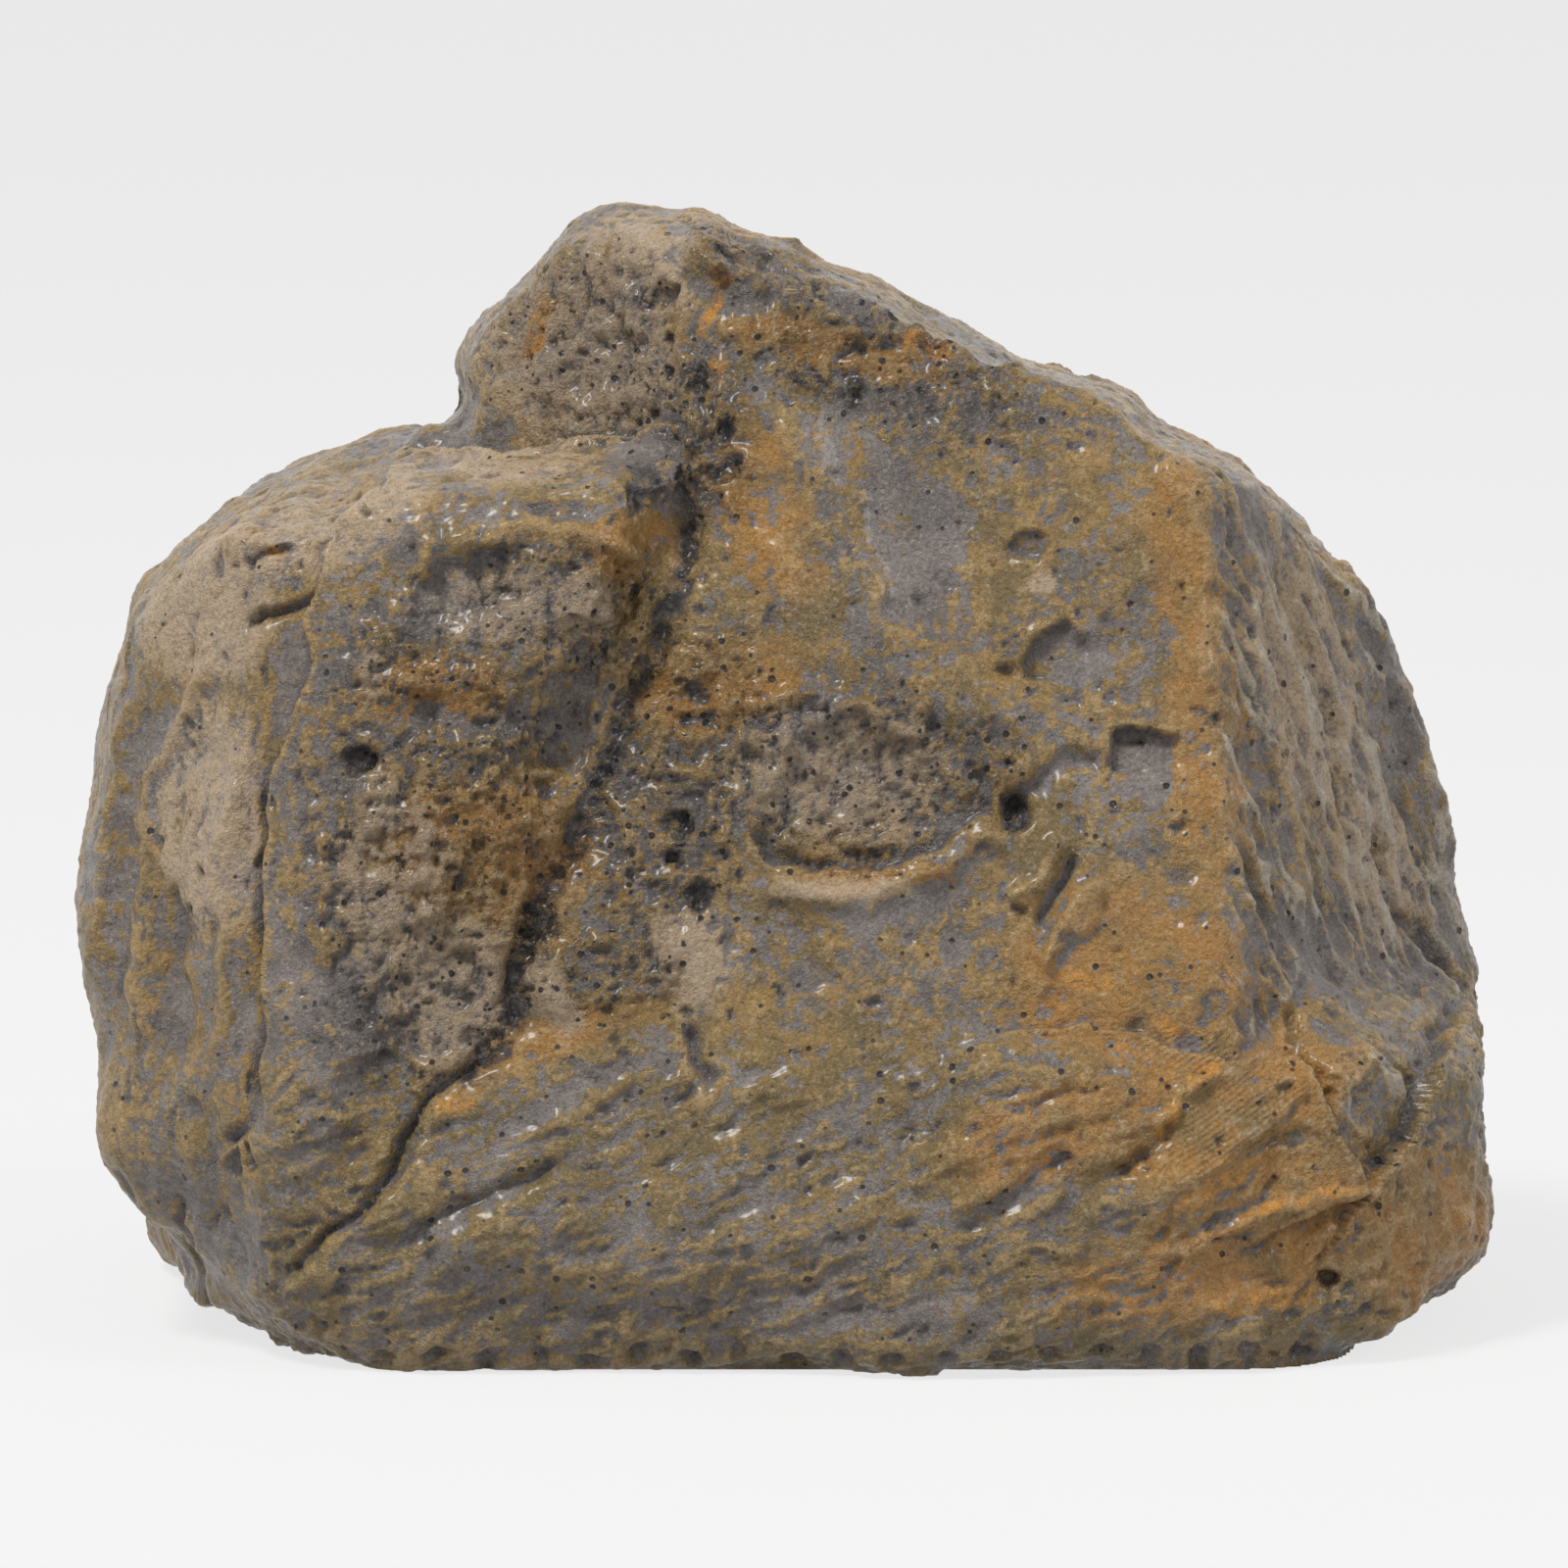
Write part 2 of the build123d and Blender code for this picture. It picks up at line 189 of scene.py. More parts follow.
def cloud(points, size, seed, octaves=3, rough=0.5):
    """Layered soft noise from -1 to 1, whose largest lumps are of the given size."""
    total = np.zeros(len(points))
    weight = 1.0
    whole = 0.0
    for octave in range(octaves):
        at = points / (size / 2**octave)
        base = np.floor(at).astype(np.int64)
        part = at - base
        part = part * part * (3 - 2 * part)
        value = np.zeros(len(points))
        for corner in range(8):
            step = np.array([corner & 1, corner >> 1 & 1, corner >> 2 & 1])
            share = np.prod(np.where(step == 1, part, 1 - part), axis=1)
            value += share * lattice(base + step, seed + octave)
        total += (value * 2 - 1) * weight
        whole += weight
        weight *= rough
    return total / whole


def crumpled(points, size, seed, octaves=3, rough=0.55):
    """Noise of rounded crumbs with sharp creases between them, from about -1 to 1."""
    total = np.zeros(len(points))
    for octave in range(octaves):
        total += np.abs(cloud(points, size / 2**octave, seed + octave, 1)) * rough**octave
    return total * 2 - 1


def ranked(values):
    """Each point's place among all the points, from 0 for the lowest to 1 for the highest."""
    order = np.empty(count)
    order[np.argsort(values)] = np.linspace(0, 1, count)
    return order


# Where the stone faces the picture; only there can relief be placed by its pixels.
# The points are read a little off their places, so that no drawn edge runs clean.
WANDER = 0.9 * MM
wander = np.stack([cloud(places, 3.2 * MM, 41 + 5 * axis, 3) for axis in range(3)], 1) * WANDER
outline_at = seen_at(places)
towards_picture = smooth(0.05, 0.35, facing @ np.array(VIEW_BACK)) * ~in_seat
elsewhere = 1 - towards_picture
shown = np.flatnonzero(towards_picture > 0)
picture_at = seen_at(places[shown] + wander[shown])
strength = towards_picture[shown]
relief = np.zeros(count)

# Where the eased facets still miss the outline of the picture:
# the place and the radii in its pixels, and how far the stone comes out there, in millimetres
OUTLINE = (
    ((628, 212), (75, 45), 1.3), ((500, 320), (70, 90), -1.1), ((540, 270), (60, 60), -0.8),
    ((790, 245), (80, 40), 0.3), ((960, 320), (70, 40), -0.8), ((1060, 345), (200, 60), -1.7),
    ((1190, 430), (110, 60), -1.0), ((1340, 540), (90, 110), -0.6), ((1465, 780), (60, 190), 0.8),
    ((1505, 1040), (50, 130), 0.6), ((1480, 1270), (70, 90), 1.0), ((120, 660), (50, 110), -0.4),
    ((90, 950), (50, 190), 0.5), ((125, 1180), (70, 120), 1.6), ((165, 1262), (80, 80), 0.7),
    ((235, 1345), (110, 60), 2.2), ((150, 1238), (45, 45), 0.9), ((452, 405), (42, 48), -1.6),
    ((1450, 1345), (55, 40), 1.3), ((930, 300), (50, 40), -0.5), ((1120, 385), (60, 40), -0.5),
    ((1370, 1400), (120, 45), -0.9), ((900, 1405), (500, 20), -0.4),
)
FOOT_LINE = 1300  # below it in the picture, what faces down isn't brought out
for centre, radii, height in OUTLINE:
    out = np.hypot(*((outline_at - centre) / radii).T)
    upright = smooth(-0.7, -0.3, facing[:, 2]) if height > 0 and centre[1] > FOOT_LINE else 1
    relief += height * MM * smooth(1, 0, out) * upright


def from_path(path):
    """Distance in pixels to a path in the picture, its side (right is positive), and how far along."""
    nearest = np.full(len(shown), 1e9)
    side = np.zeros(len(shown))
    share = np.zeros(len(shown))
    for step, (start, end) in enumerate(zip(path, path[1:])):
        start, run = np.array(start, float), np.subtract(end, start)
        apart = picture_at - start
        along = np.clip(apart @ run / (run @ run), 0, 1)
        off = apart - along[:, None] * run
        distance = np.hypot(off[:, 0], off[:, 1])
        closer = distance < nearest
        nearest[closer] = distance[closer]
        side[closer] = np.sign(run[0] * apart[:, 1] - run[1] * apart[:, 0])[closer]
        share[closer] = ((step + along) / (len(path) - 1))[closer]
    return nearest, side, share


def within(centre, radii, turn=0):
    """How far out each point lies in an ellipse of the picture: 1 is its edge."""
    turn = math.radians(turn)
    apart = picture_at - centre
    across = (apart[:, 0] * math.cos(turn) + apart[:, 1] * math.sin(turn)) / radii[0]
    down = (apart[:, 1] * math.cos(turn) - apart[:, 0] * math.sin(turn)) / radii[1]
    return np.hypot(across, down)


# Mounds, and hollows where the height is below zero: centre and radii in the picture,
# height in millimetres, turn in degrees, and the share of the radius that lies flat
MOUNDS = (
    # the broad forms: the bowl right of the crack, the hollows and swellings of the faces
    ((870, 800), (130, 85), -1.0, 8, 0.3), ((965, 560), (130, 160), -0.8, 0, 0),
    ((484, 600), (82, 52), -0.7, -8, 0.3), ((596, 616), (48, 36), 0.6, 0, 0.3),
    ((372, 822), (44, 34), 0.6, 0, 0.3), ((529, 849), (62, 46), 0.7, 0, 0.3),
    ((564, 1014), (26, 46), 1.1, -25, 0.3), ((703, 978), (48, 62), 0.9, 0, 0.3),
    ((420, 1000), (120, 120), -0.3, 0, 0.3), ((600, 345), (70, 80), -0.9, 0, 0.3),
    ((1150, 560), (60, 90), 0.5, 0, 0.3), ((800, 1180), (190, 80), -0.6, -12, 0.3),
    ((1215, 1190), (110, 70), 0.9, -25, 0.3), ((560, 1270), (190, 60), 0.7, 5, 0.3),
    ((190, 860), (45, 110), 0.8, 0, 0.3), ((820, 590), (50, 90), 0.8, -25, 0.3),
    # the holes of the left front lump and under the upright groove
    ((197, 1133), (17, 19), -0.6, 0, 0.3), ((368, 773), (20, 18), -0.8, 0, 0.3),
    ((573, 518), (40, 14), -0.5, 0, 0.3),
    # the dents beside the peak's front ridge
    ((712, 380), (25, 20), -0.7, 0, 0.3), ((738, 436), (13, 17), -0.6, 0, 0.3),
    ((740, 478), (16, 17), -0.6, 0, 0.3), ((655, 500), (22, 34), -0.8, 0, 0.3),
    # the flakes and holes of the right front face
    ((1053, 552), (27, 15), -0.6, -5, 0.75), ((1040, 825), (22, 30), -0.9, 0, 0.3),
    ((1026, 680), (16, 12), -0.8, 0, 0.3), ((1110, 935), (20, 30), 0.6, 30, 0.3),
    ((690, 842), (22, 16), -0.7, 0, 0.3), ((684, 874), (11, 10), -0.6, 0, 0.3),
    ((712, 916), (18, 24), -0.5, 0, 0.3),
    # the hole near the bottom
    ((1355, 1307), (12, 11), -0.8, 0, 0.3),
)
CHIPS = range(340, 1350, 52)  # along the foot, where the casting was trimmed
CHIP_LINE = 1382
CHIPPED = tuple(((across, CHIP_LINE + across % 7), (15, 11), -0.7, 0, 0.3) for across in CHIPS)
for centre, radii, height, turn, flat in MOUNDS + CHIPPED:
    relief[shown] += height * MM * smooth(1, flat, within(centre, radii, turn)) * strength

# The slanting crack, wide and pitted above, narrow below
CRACK = (
    (712, 440), (705, 500), (700, 545), (690, 590), (672, 650), (655, 690), (640, 725), (618, 780),
    (600, 835), (585, 870), (560, 910), (540, 950), (530, 1000), (520, 1050), (480, 1100),
)
CRACK_FOOT = (
    (520, 1065), (470, 1100), (437, 1128), (412, 1165), (405, 1195), (380, 1225), (340, 1260), (290, 1312),
)
BRANCH = ((580, 1187), (513, 1213), (473, 1233), (420, 1267))

# Ridges, and grooves where the height is below zero:
# width in the picture's pixels, height in millimetres, and the path in the picture
RIDGES = (
    # the crack, with its branch at the foot
    (34, -0.7, CRACK), (13, -0.8, CRACK), (8, -0.9, CRACK_FOOT),
    (14, -0.5, ((425, 1140), (408, 1180), (385, 1215))),
    (9, -0.6, ((367, 1263), (420, 1267), (473, 1233), (513, 1213), (580, 1187))),
    # the upright groove beside the left front lump, and the flank's long folds
    (7, -1.0, ((274, 800), (264, 870), (260, 1000), (262, 1140))),
    (8, -1.0, ((262, 1090), (250, 1150), (225, 1165))),
    (7, -0.9, ((250, 1165), (262, 1195))),
    (6, -0.9, ((232, 1175), (240, 1200))),
    (9, 0.8, ((215, 640), (185, 730), (150, 800), (145, 900), (142, 1000), (150, 1080))),
    (10, 0.9, ((232, 780), (222, 860), (226, 950), (218, 1015), (225, 1100))),
    (8, 0.6, ((130, 700), (113, 800), (104, 900), (108, 1000))),
    (9, -0.7, ((176, 900), (172, 990), (180, 1090))),
    (7, -0.8, ((300, 552), (262, 560), (240, 580))),
    (6, -0.9, ((322, 600), (290, 622), (240, 642))),
    (12, 0.5, ((180, 580), (260, 520), (350, 480))),
    # the left front lump's rims and folds
    (13, 0.7, (
        (340, 690), (372, 675), (412, 612), (440, 558), (550, 536), (600, 540), (640, 568), (655, 600),
    )),
    (14, 0.5, ((381, 697), (506, 690), (596, 670))),
    (16, -0.5, ((399, 728), (551, 732), (618, 759))),
    (12, 0.4, ((305, 700), (322, 780), (330, 900), (335, 1010))),
    # the peak's front ridge, and the crest round the right front face
    (10, 0.7, ((669, 262), (696, 298), (694, 352), (703, 419), (707, 490), (712, 552))),
    (12, 0.9, ((669, 262), (740, 271), (799, 298), (879, 325), (959, 338), (999, 369), (1066, 378))),
    (14, -0.5, ((720, 245), (800, 268), (900, 308), (1000, 345))),
    (11, 0.5, ((1066, 378), (1147, 427), (1191, 472), (1223, 543), (1231, 642), (1235, 740))),
    (28, 0.9, ((767, 387), (834, 490), (870, 579), (906, 642), (977, 713), (1040, 776))),
    (10, 0.4, ((560, 270), (590, 330), (560, 390))),
    # the groove at the flakes, the smooth lip under the bowl, and the crumpled ridges round it
    (9, -0.8, ((1022, 834), (1049, 802), (1084, 778), (1133, 776))),
    (15, 1.0, ((775, 898), (830, 916), (890, 913), (950, 890), (1000, 860), (1030, 842))),
    (8, 0.6, ((767, 820), (799, 789), (816, 753), (861, 722), (870, 704))),
    (10, 0.6, ((776, 722), (843, 702), (888, 722), (932, 753), (985, 800))),
    (8, 0.8, ((1075, 854), (1061, 896), (1033, 918))),
    (9, 1.0, ((1132, 904), (1096, 918), (1082, 953), (1068, 995))),
    (7, -0.9, ((1100, 870), (1075, 905), (1055, 945))),
    (8, -1.0, ((700, 1045), (712, 1090), (735, 1110))),
    # the tool's long strokes over the lower right lump
    (7, 0.7, ((1178, 1152), (1202, 1121), (1248, 1092))),
    (8, -0.8, ((1140, 1200), (1181, 1165), (1192, 1140))),
    (13, -0.6, ((970, 1255), (1026, 1219), (1097, 1177))),
    (13, -0.7, ((1068, 1240), (1132, 1212), (1181, 1170))),
    (9, 0.5, ((1190, 1280), (1335, 1225), (1405, 1215))),
    (11, -0.7, ((1265, 1290), (1335, 1255), (1405, 1230))),
    (12, 0.5, ((1192, 1210), (1240, 1190), (1330, 1120))),
    (8, -0.6, ((1047, 1135), (1103, 1107))),
    (7, -1.2, ((1307, 1030), (1328, 1079), (1349, 1107))),
    # the right-hand crest and face
    (9, 0.5, ((1235, 740), (1244, 819), (1272, 932), (1293, 1002), (1321, 1065))),
    (7, -1.3, ((1398, 847), (1412, 911), (1454, 960), (1483, 1002))),
    (10, 0.7, ((1279, 482), (1349, 532), (1405, 637), (1433, 749), (1475, 861), (1496, 974))),
    (9, -1.2, ((1495, 1015), (1480, 1030), (1470, 1060))),
    (8, 0.5, ((1250, 560), (1290, 700), (1310, 830), (1330, 960))),
    (8, -0.5, ((1300, 560), (1345, 700), (1370, 830), (1400, 1000))),
)
for width, height, path in RIDGES:
    nearest, _, share = from_path(path)
    tapered = smooth(0, 0.12, share) * smooth(0, 0.12, 1 - share) * 0.8 + 0.2
    relief[shown] += height * MM * np.exp(-((nearest / width) ** 2)) * tapered * strength

# Steps, whose right-hand side lies lower and rises back:
# drop in millimetres, and the reach and the path in the picture
LEDGES = (
    # the crack's foot and its branch
    (0.8, 50, CRACK_FOOT), (0.5, 40, BRANCH),
    # the left front lump's sharp left edge, and its shelf
    (1.5, 70, (
        (408, 460), (390, 505), (346, 536), (328, 585), (314, 634), (310, 688), (297, 750), (279, 799),
        (270, 866), (265, 1000), (265, 1125),
    )),
    (1.3, 50, ((695, 432), (600, 444), (540, 452), (455, 460), (408, 460))),
    # flakes broken off the right front face
    (0.8, 70, ((1040, 690), (1044, 673), (1066, 642), (1093, 628))),
    (0.9, 50, ((1133, 790), (1133, 767), (1138, 749), (1169, 740), (1214, 753))),
    # the bowl's lower rim
    (1.1, 60, ((1026, 829), (1004, 834), (955, 865), (897, 887), (834, 892), (790, 883), (763, 852))),
    # the lower right lump's top, and its right-hand end
    (0.7, 40, ((1321, 1065), (1270, 1080), (1216, 1072), (1111, 1040), (991, 1057))),
    (1.6, 60, ((1485, 1045), (1450, 1130), (1400, 1212), (1345, 1110), (1310, 1060))),
)
LIP_WIDTH = 9  # of the raised edge along a step
LIP_SHARE = 0.35
for drop, reach, path in LEDGES:
    nearest, side, share = from_path(path)
    tapered = smooth(0, 0.1, share) * smooth(0, 0.1, 1 - share)
    low = smooth(-3, 4, nearest * side) * np.exp(-nearest / reach)
    lip = (side < 0) * np.exp(-((nearest / LIP_WIDTH) ** 2)) * LIP_SHARE
    relief[shown] += (lip - low) * drop * MM * tapered * strength

# The rest of the surface, all round: lumps, crumbs, and the run of the modelling tool
TOOL_RUN = np.array([0.93, 0.0, 0.37])  # the strokes of the lower part rise to the right
FLANK_RUN = np.array([0.05, 0.1, 1.0])
SIDE_RUN = np.array([0.25, 0.35, -0.9])

on_flank = smooth(-36 * MM, -40 * MM, places[:, 0]) * smooth(0.1, 0.5, -facing[:, 0] - facing[:, 1] * 0.3)
on_side = smooth(0.45, 0.75, facing[:, 0]) * smooth(20 * MM, 30 * MM, places[:, 0])
on_side *= smooth(14 * MM, 19 * MM, places[:, 2] - (places[:, 0] - 42 * MM) * 0.6)
low_down = smooth(28 * MM, 18 * MM, places[:, 2]) * (1 - on_flank)


def patches(spots):
    """A mask of soft ellipses in the picture: centre, radii, turn."""
    mask = np.zeros(count)
    for centre, radii, turn in spots:
        mask[shown] = np.maximum(mask[shown], smooth(1.15, 0.55, within(centre, radii, turn)))
    return mask * towards_picture


def stretched(points, run, factor):
    """Points drawn together along a run, so that noise on them is drawn out along it."""
    run = run / np.linalg.norm(run)
    return points + np.outer(points @ run, run) * (1 / factor - 1)


CRUMBLY = (
    ((450, 850), (160, 290), 0), ((860, 790), (150, 110), 5), ((560, 620), (130, 90), 0),
    ((690, 800), (110, 200), 20), ((430, 1040), (110, 90), 0), ((620, 990), (90, 60), 0),
    ((900, 370), (190, 70), 15), ((990, 780), (70, 60), 0), ((600, 340), (110, 110), 0),
    ((800, 280), (120, 40), 15), ((720, 430), (60, 110), 0),
)
crumbly = np.maximum(patches(CRUMBLY), elsewhere * smooth(-0.1, 0.35, cloud(places, 16 * MM, 21, 2)))
crumbly *= (1 - on_flank) * (1 - 0.6 * low_down)

# Painted shade: the crack and these holes are painted dark, for the shade that lies in them
DARK_HOLES = (
    ((712, 385), (22, 18), 0), ((738, 436), (11, 15), 0), ((740, 478), (17, 17), 0),
    ((368, 773), (17, 17), 0), ((1040, 828), (16, 26), 0), ((690, 842), (18, 14), 0),
    ((684, 874), (8, 8), 0), ((712, 916), (15, 18), 0), ((1355, 1307), (10, 9), 0),
    ((820, 285), (30, 12), 20), ((660, 500), (20, 30), 0), ((545, 945), (22, 26), 0),
    ((760, 255), (22, 10), 20), ((905, 318), (26, 9), 20), ((1000, 350), (16, 8), 20),
    ((820, 385), (18, 12), 0), ((870, 400), (16, 20), 0), ((655, 300), (14, 14), 0),
)
CRACK_DARK = 13  # half the width of the dark line, in the picture's pixels
darkest = np.zeros(count)
darkest[shown] = np.exp(-((from_path(CRACK)[0] / CRACK_DARK) ** 2))
darkest = darkest * towards_picture + patches(DARK_HOLES)

bent = places + wander * 0.6
lumps = cloud(places, 26 * MM, 11, 2) * 0.5 + cloud(places, 9 * MM, 12, 2) * 0.5
soft = cloud(bent, 4.0 * MM, 13, 4, 0.6) * 0.4
crumbs = crumpled(bent, 2.4 * MM, 17, 4, 0.7) * 0.4
folds = cloud(stretched(bent, FLANK_RUN, 6), 4.2 * MM, 14, 3) * 0.8
veins = -crumpled(stretched(bent, SIDE_RUN, 4), 2.2 * MM, 15, 2, 0.6)  # thin ridges round long dents
strokes = cloud(stretched(bent, TOOL_RUN, 5), 2.4 * MM, 16, 3) * 0.4
strokes += crumpled(stretched(bent, TOOL_RUN, 3.5), 1.8 * MM, 25, 3, 0.6) * 0.22
relief += (lumps + soft + crumbs * (0.25 + 0.75 * crumbly)) * MM
relief += (folds * on_flank + 0.42 * veins * on_side + strokes * low_down) * MM
relief *= 1 - eased(held[:, None] * 1.0, 20)[:, 0]  # none of it at the seat

shaped = places + facing * relief[:, None]
shaped = np.where(held[:, None], places, shaped)
shaped[:, 2] = np.maximum(shaped[:, 2], 0)
facing = normals_at(eased(shaped, 2, held))

# Dents of the modelling tool and bubbles of the casting, pressed in one by one
DENTS = 3200
BUBBLES = 2400
CLUSTERED = 160  # more of them in the crack and the holes
CLEAR_OF_GROUND = 0.4 * MM

near = KDTree(count)
for index, place in enumerate(shaped):
    near.insert(place, index)
near.balance()
chance = np.random.default_rng(7)
outside = np.flatnonzero(~held & (shaped[:, 2] > CLEAR_OF_GROUND))
ragged = np.stack([cloud(places, 1.1 * MM, 61 + axis, 2) for axis in range(3)], 1) * 0.5 * MM
warped = shaped + (wander + ragged)
pitted = np.zeros(count)
dented = np.zeros(count)
sunk = np.zeros(count)


def stamp(centre, run, half_length, half_width, depth, mark):
    """Press a ragged dent into the surface, and note it in a mask."""
    normal = facing[centre]
    along = run - normal * (run @ normal)
    along /= np.linalg.norm(along) + 1e-9
    across = np.cross(normal, along)
    found = near.find_range(shaped[centre], half_length * 1.5)
    which = np.array([index for _, index, _ in found])
    apart = warped[which] - warped[centre]
    out = np.hypot(apart @ along / half_length, apart @ across / half_width)
    pressed = smooth(1, 0.35, out) * (facing[which] @ normal > 0.2)
    sunk[which] = np.maximum(sunk[which], pressed * depth)
    mark[which] = np.maximum(mark[which], pressed)


for centre in chance.choice(outside, DENTS):
    grown = chance.exponential(0.5)
    if low_down[centre] > 0.5 and abs(facing[centre, 1]) > 0.3:
        run = TOOL_RUN + chance.normal(0, 0.25, 3)
        length, width = 0.8 + grown * 1.2, chance.uniform(0.3, 0.6)
    elif on_flank[centre] > 0.5:
        if chance.random() < 0.6:
            continue
        run = FLANK_RUN + chance.normal(0, 0.15, 3)
        length, width = 1.0 + grown * 2.4, chance.uniform(0.3, 0.6)
    elif on_side[centre] > 0.5:
        run = SIDE_RUN + chance.normal(0, 0.12, 3)
        length, width = 0.7 + grown * 0.8, chance.uniform(0.35, 0.6)
    else:
        run = chance.normal(0, 1, 3)
        length = 0.4 + grown * 0.8
        width = length * chance.uniform(0.5, 1.0)
    stamp(centre, run, length * MM, width * MM, chance.uniform(0.1, 0.35) * MM, dented)
clusters = np.flatnonzero(darkest > 0.3)
for centre in np.append(chance.choice(outside, BUBBLES), chance.choice(clusters, CLUSTERED)):
    if chance.random() > 0.12 + 0.6 * crumbly[centre] + darkest[centre] - 0.1 * on_flank[centre]:
        continue
    radius = chance.uniform(0.3, 0.55) * MM
    stamp(centre, chance.normal(0, 1, 3), radius, radius, chance.uniform(0.5, 1.0) * radius, pitted)

shaped = shaped - facing * sunk[:, None]
shaped[:, 2] = np.maximum(shaped[:, 2], 0)
stone.data.vertices.foreach_set("co", shaped.ravel())
stone.data.update()
stone.data.shade_smooth()

# What the paint goes by, painted shade and sheen among it: patches placed in the picture, and hollows and
# worn heights all round
STAINED = (
    ((735, 283), (14, 8), 0), ((725, 315), (10, 26), 20), ((735, 375), (8, 16), 0),
    ((276, 556), (14, 9), 0), ((1192, 1138), (9, 24), 35), ((1228, 1100), (26, 10), -35),
    ((1190, 1040), (26, 9), 30), ((470, 1125), (30, 12), -40), ((950, 352), (40, 14), 15),
    ((1440, 650), (12, 60), -15), ((1240, 1210), (70, 10), -25), ((545, 340), (14, 40), 15),
    ((1330, 1225), (70, 8), -15), ((1110, 1000), (30, 12), 10), ((1290, 1330), (60, 14), -10),
)
RUSTY = (
    ((780, 520), (60, 110), -20), ((1200, 560), (34, 110), 0), ((1140, 1000), (130, 110), 0),
    ((1320, 1230), (150, 90), -10), ((500, 860), (120, 90), 0), ((430, 700), (90, 40), 0),
    ((1230, 760), (50, 190), 0), ((640, 560), (60, 40), 0), ((860, 360), (140, 30), 15),
    ((1250, 1130), (170, 90), -20), ((1450, 1260), (90, 110), 0), ((1190, 1000), (110, 90), 0),
    ((560, 1060), (110, 30), -20), ((900, 900), (110, 20), -5), ((740, 700), (110, 60), 0),
    ((1230, 1290), (190, 70), -10), ((1060, 1160), (110, 60), -20),
)
GREYED = (
    ((600, 340), (95, 90), 0), ((940, 540), (60, 90), -20), ((484, 600), (72, 44), -8),
    ((573, 520), (60, 20), 0), ((520, 735), (110, 22), 0), ((820, 730), (60, 30), 0),
    ((1170, 785), (48, 36), 0), ((1090, 665), (45, 35), 0), ((640, 1110), (90, 50), 0),
    ((840, 278), (150, 26), 19), ((780, 290), (60, 26), 10), ((740, 1110), (40, 40), 0),
    ((1080, 930), (44, 60), 0), ((720, 1340), (300, 34), 0), ((360, 1040), (60, 70), 0),
    ((900, 1130), (90, 40), -10), ((660, 480), (60, 60), 0),
)
# Pale taupe patches: dry-brushing, and in part painted sheen on faces that turn up to the lamp, as left of
# the peak
PALE = (
    ((564, 1014), (30, 50), -25), ((703, 978), (50, 66), 0), ((1068, 590), (22, 14), 0),
    ((596, 616), (46, 36), 0), ((200, 620), (80, 90), -20), ((210, 830), (60, 140), 0),
    ((650, 250), (70, 20), 0), ((460, 1010), (70, 90), 0), ((520, 470), (110, 24), 0),
    ((380, 690), (16, 30), 0), ((590, 360), (110, 110), 0), ((860, 910), (80, 14), 0),
    ((330, 540), (130, 50), -20), ((1330, 700), (60, 160), -12), ((1400, 880), (50, 120), -15),
    ((860, 790), (120, 80), 5), ((640, 290), (80, 60), 0), ((400, 900), (60, 130), 0),
    ((500, 620), (70, 50), 0),
)
BRUSHED = (((1262, 1150), (90, 70), -30), ((1210, 1075), (70, 26), 0), ((690, 1340), (110, 26), 0))


def standing_out(rounds):
    """How far each point stands above its surroundings, in millimetres."""
    return ((shaped - eased(shaped, rounds)) * facing).sum(1) / MM


rusty = np.maximum(patches(RUSTY), elsewhere * smooth(0.0, 0.5, cloud(places, 17 * MM, 31, 2)))
greyed = np.maximum(patches(GREYED), 0.75 * on_side)
greyed = np.maximum(greyed, elsewhere * smooth(0.05, 0.5, cloud(places, 15 * MM, 32, 2)))
pale = np.maximum(patches(PALE), elsewhere * smooth(0.25, 0.6, cloud(places, 12 * MM, 33, 2)) * 0.8)
low_rank = 1 - ranked(standing_out(4))
high_rank = ranked(standing_out(35))
bare = 0.30 * low_rank + 0.12 * (1 - high_rank) + 0.30 * ranked(cloud(bent, 2.4 * MM, 34, 4, 0.7))
bare += 0.20 * ranked(cloud(places, 9 * MM, 35, 3)) + 0.16 * greyed + 0.10 * dented
worn = 0.3 * high_rank + 0.3 * (1 - low_rank) + 0.3 * pale + 0.3 * ranked(cloud(bent, 4 * MM, 36, 4, 0.7))
# Painted shade: the points that lie deepest below their surroundings are painted near black, for the shade
# that gathers in them
painted_hollow_shade = smooth(0.965, 0.998, low_rank) + 0.5 * smooth(0.94, 0.99, 1 - high_rank) * low_rank

MASKS = {
    "bare": ranked(bare - 0.14 * pale - 0.22 * rusty - 0.05 * low_down),
    "worn": ranked(worn),
    "pale": pale,
    "rusty": rusty,
    "stained": patches(STAINED),
    # Painted shade: the lower part is darkened, as less of the light from above reaches it
    "painted_low_shade": 0.5 * low_down,
    # Painted sheen: pale streaks along the ridges of the right side face, for the light that the ridges catch
    "painted_sheen_streaks": smooth(0.2, 0.9, veins) * on_side,
    # Painted highlight: pale specks as glints all over, more of them on the crumbly patches
    "painted_glints": 0.32 + 0.22 * crumbly,
    "pitted": 0.7 * pitted,
    "painted_hollow_shade": 0.45 * np.clip(painted_hollow_shade, 0, 1),
    "painted_crack_shade": np.clip(darkest, 0, 1),
    "in_seat": in_seat * 1.0,
    "bubbly": 0.10 + 0.32 * crumbly - 0.08 * on_flank,
    "pinholed": 0.08 + 0.22 * crumbly,
    "gritty": 0.8 + 1.3 * crumbly,
    "brushed": 0.14 * patches(BRUSHED),
}


def linear(colour):
    """A colour written as sRGB hex, as the renderer needs it."""
    parts = [int(colour[at : at + 2], 16) / 255 for at in (1, 3, 5)]
    return (*[p / 12.92 if p <= 0.04045 else ((p + 0.055) / 1.055) ** 2.4 for p in parts], 1)


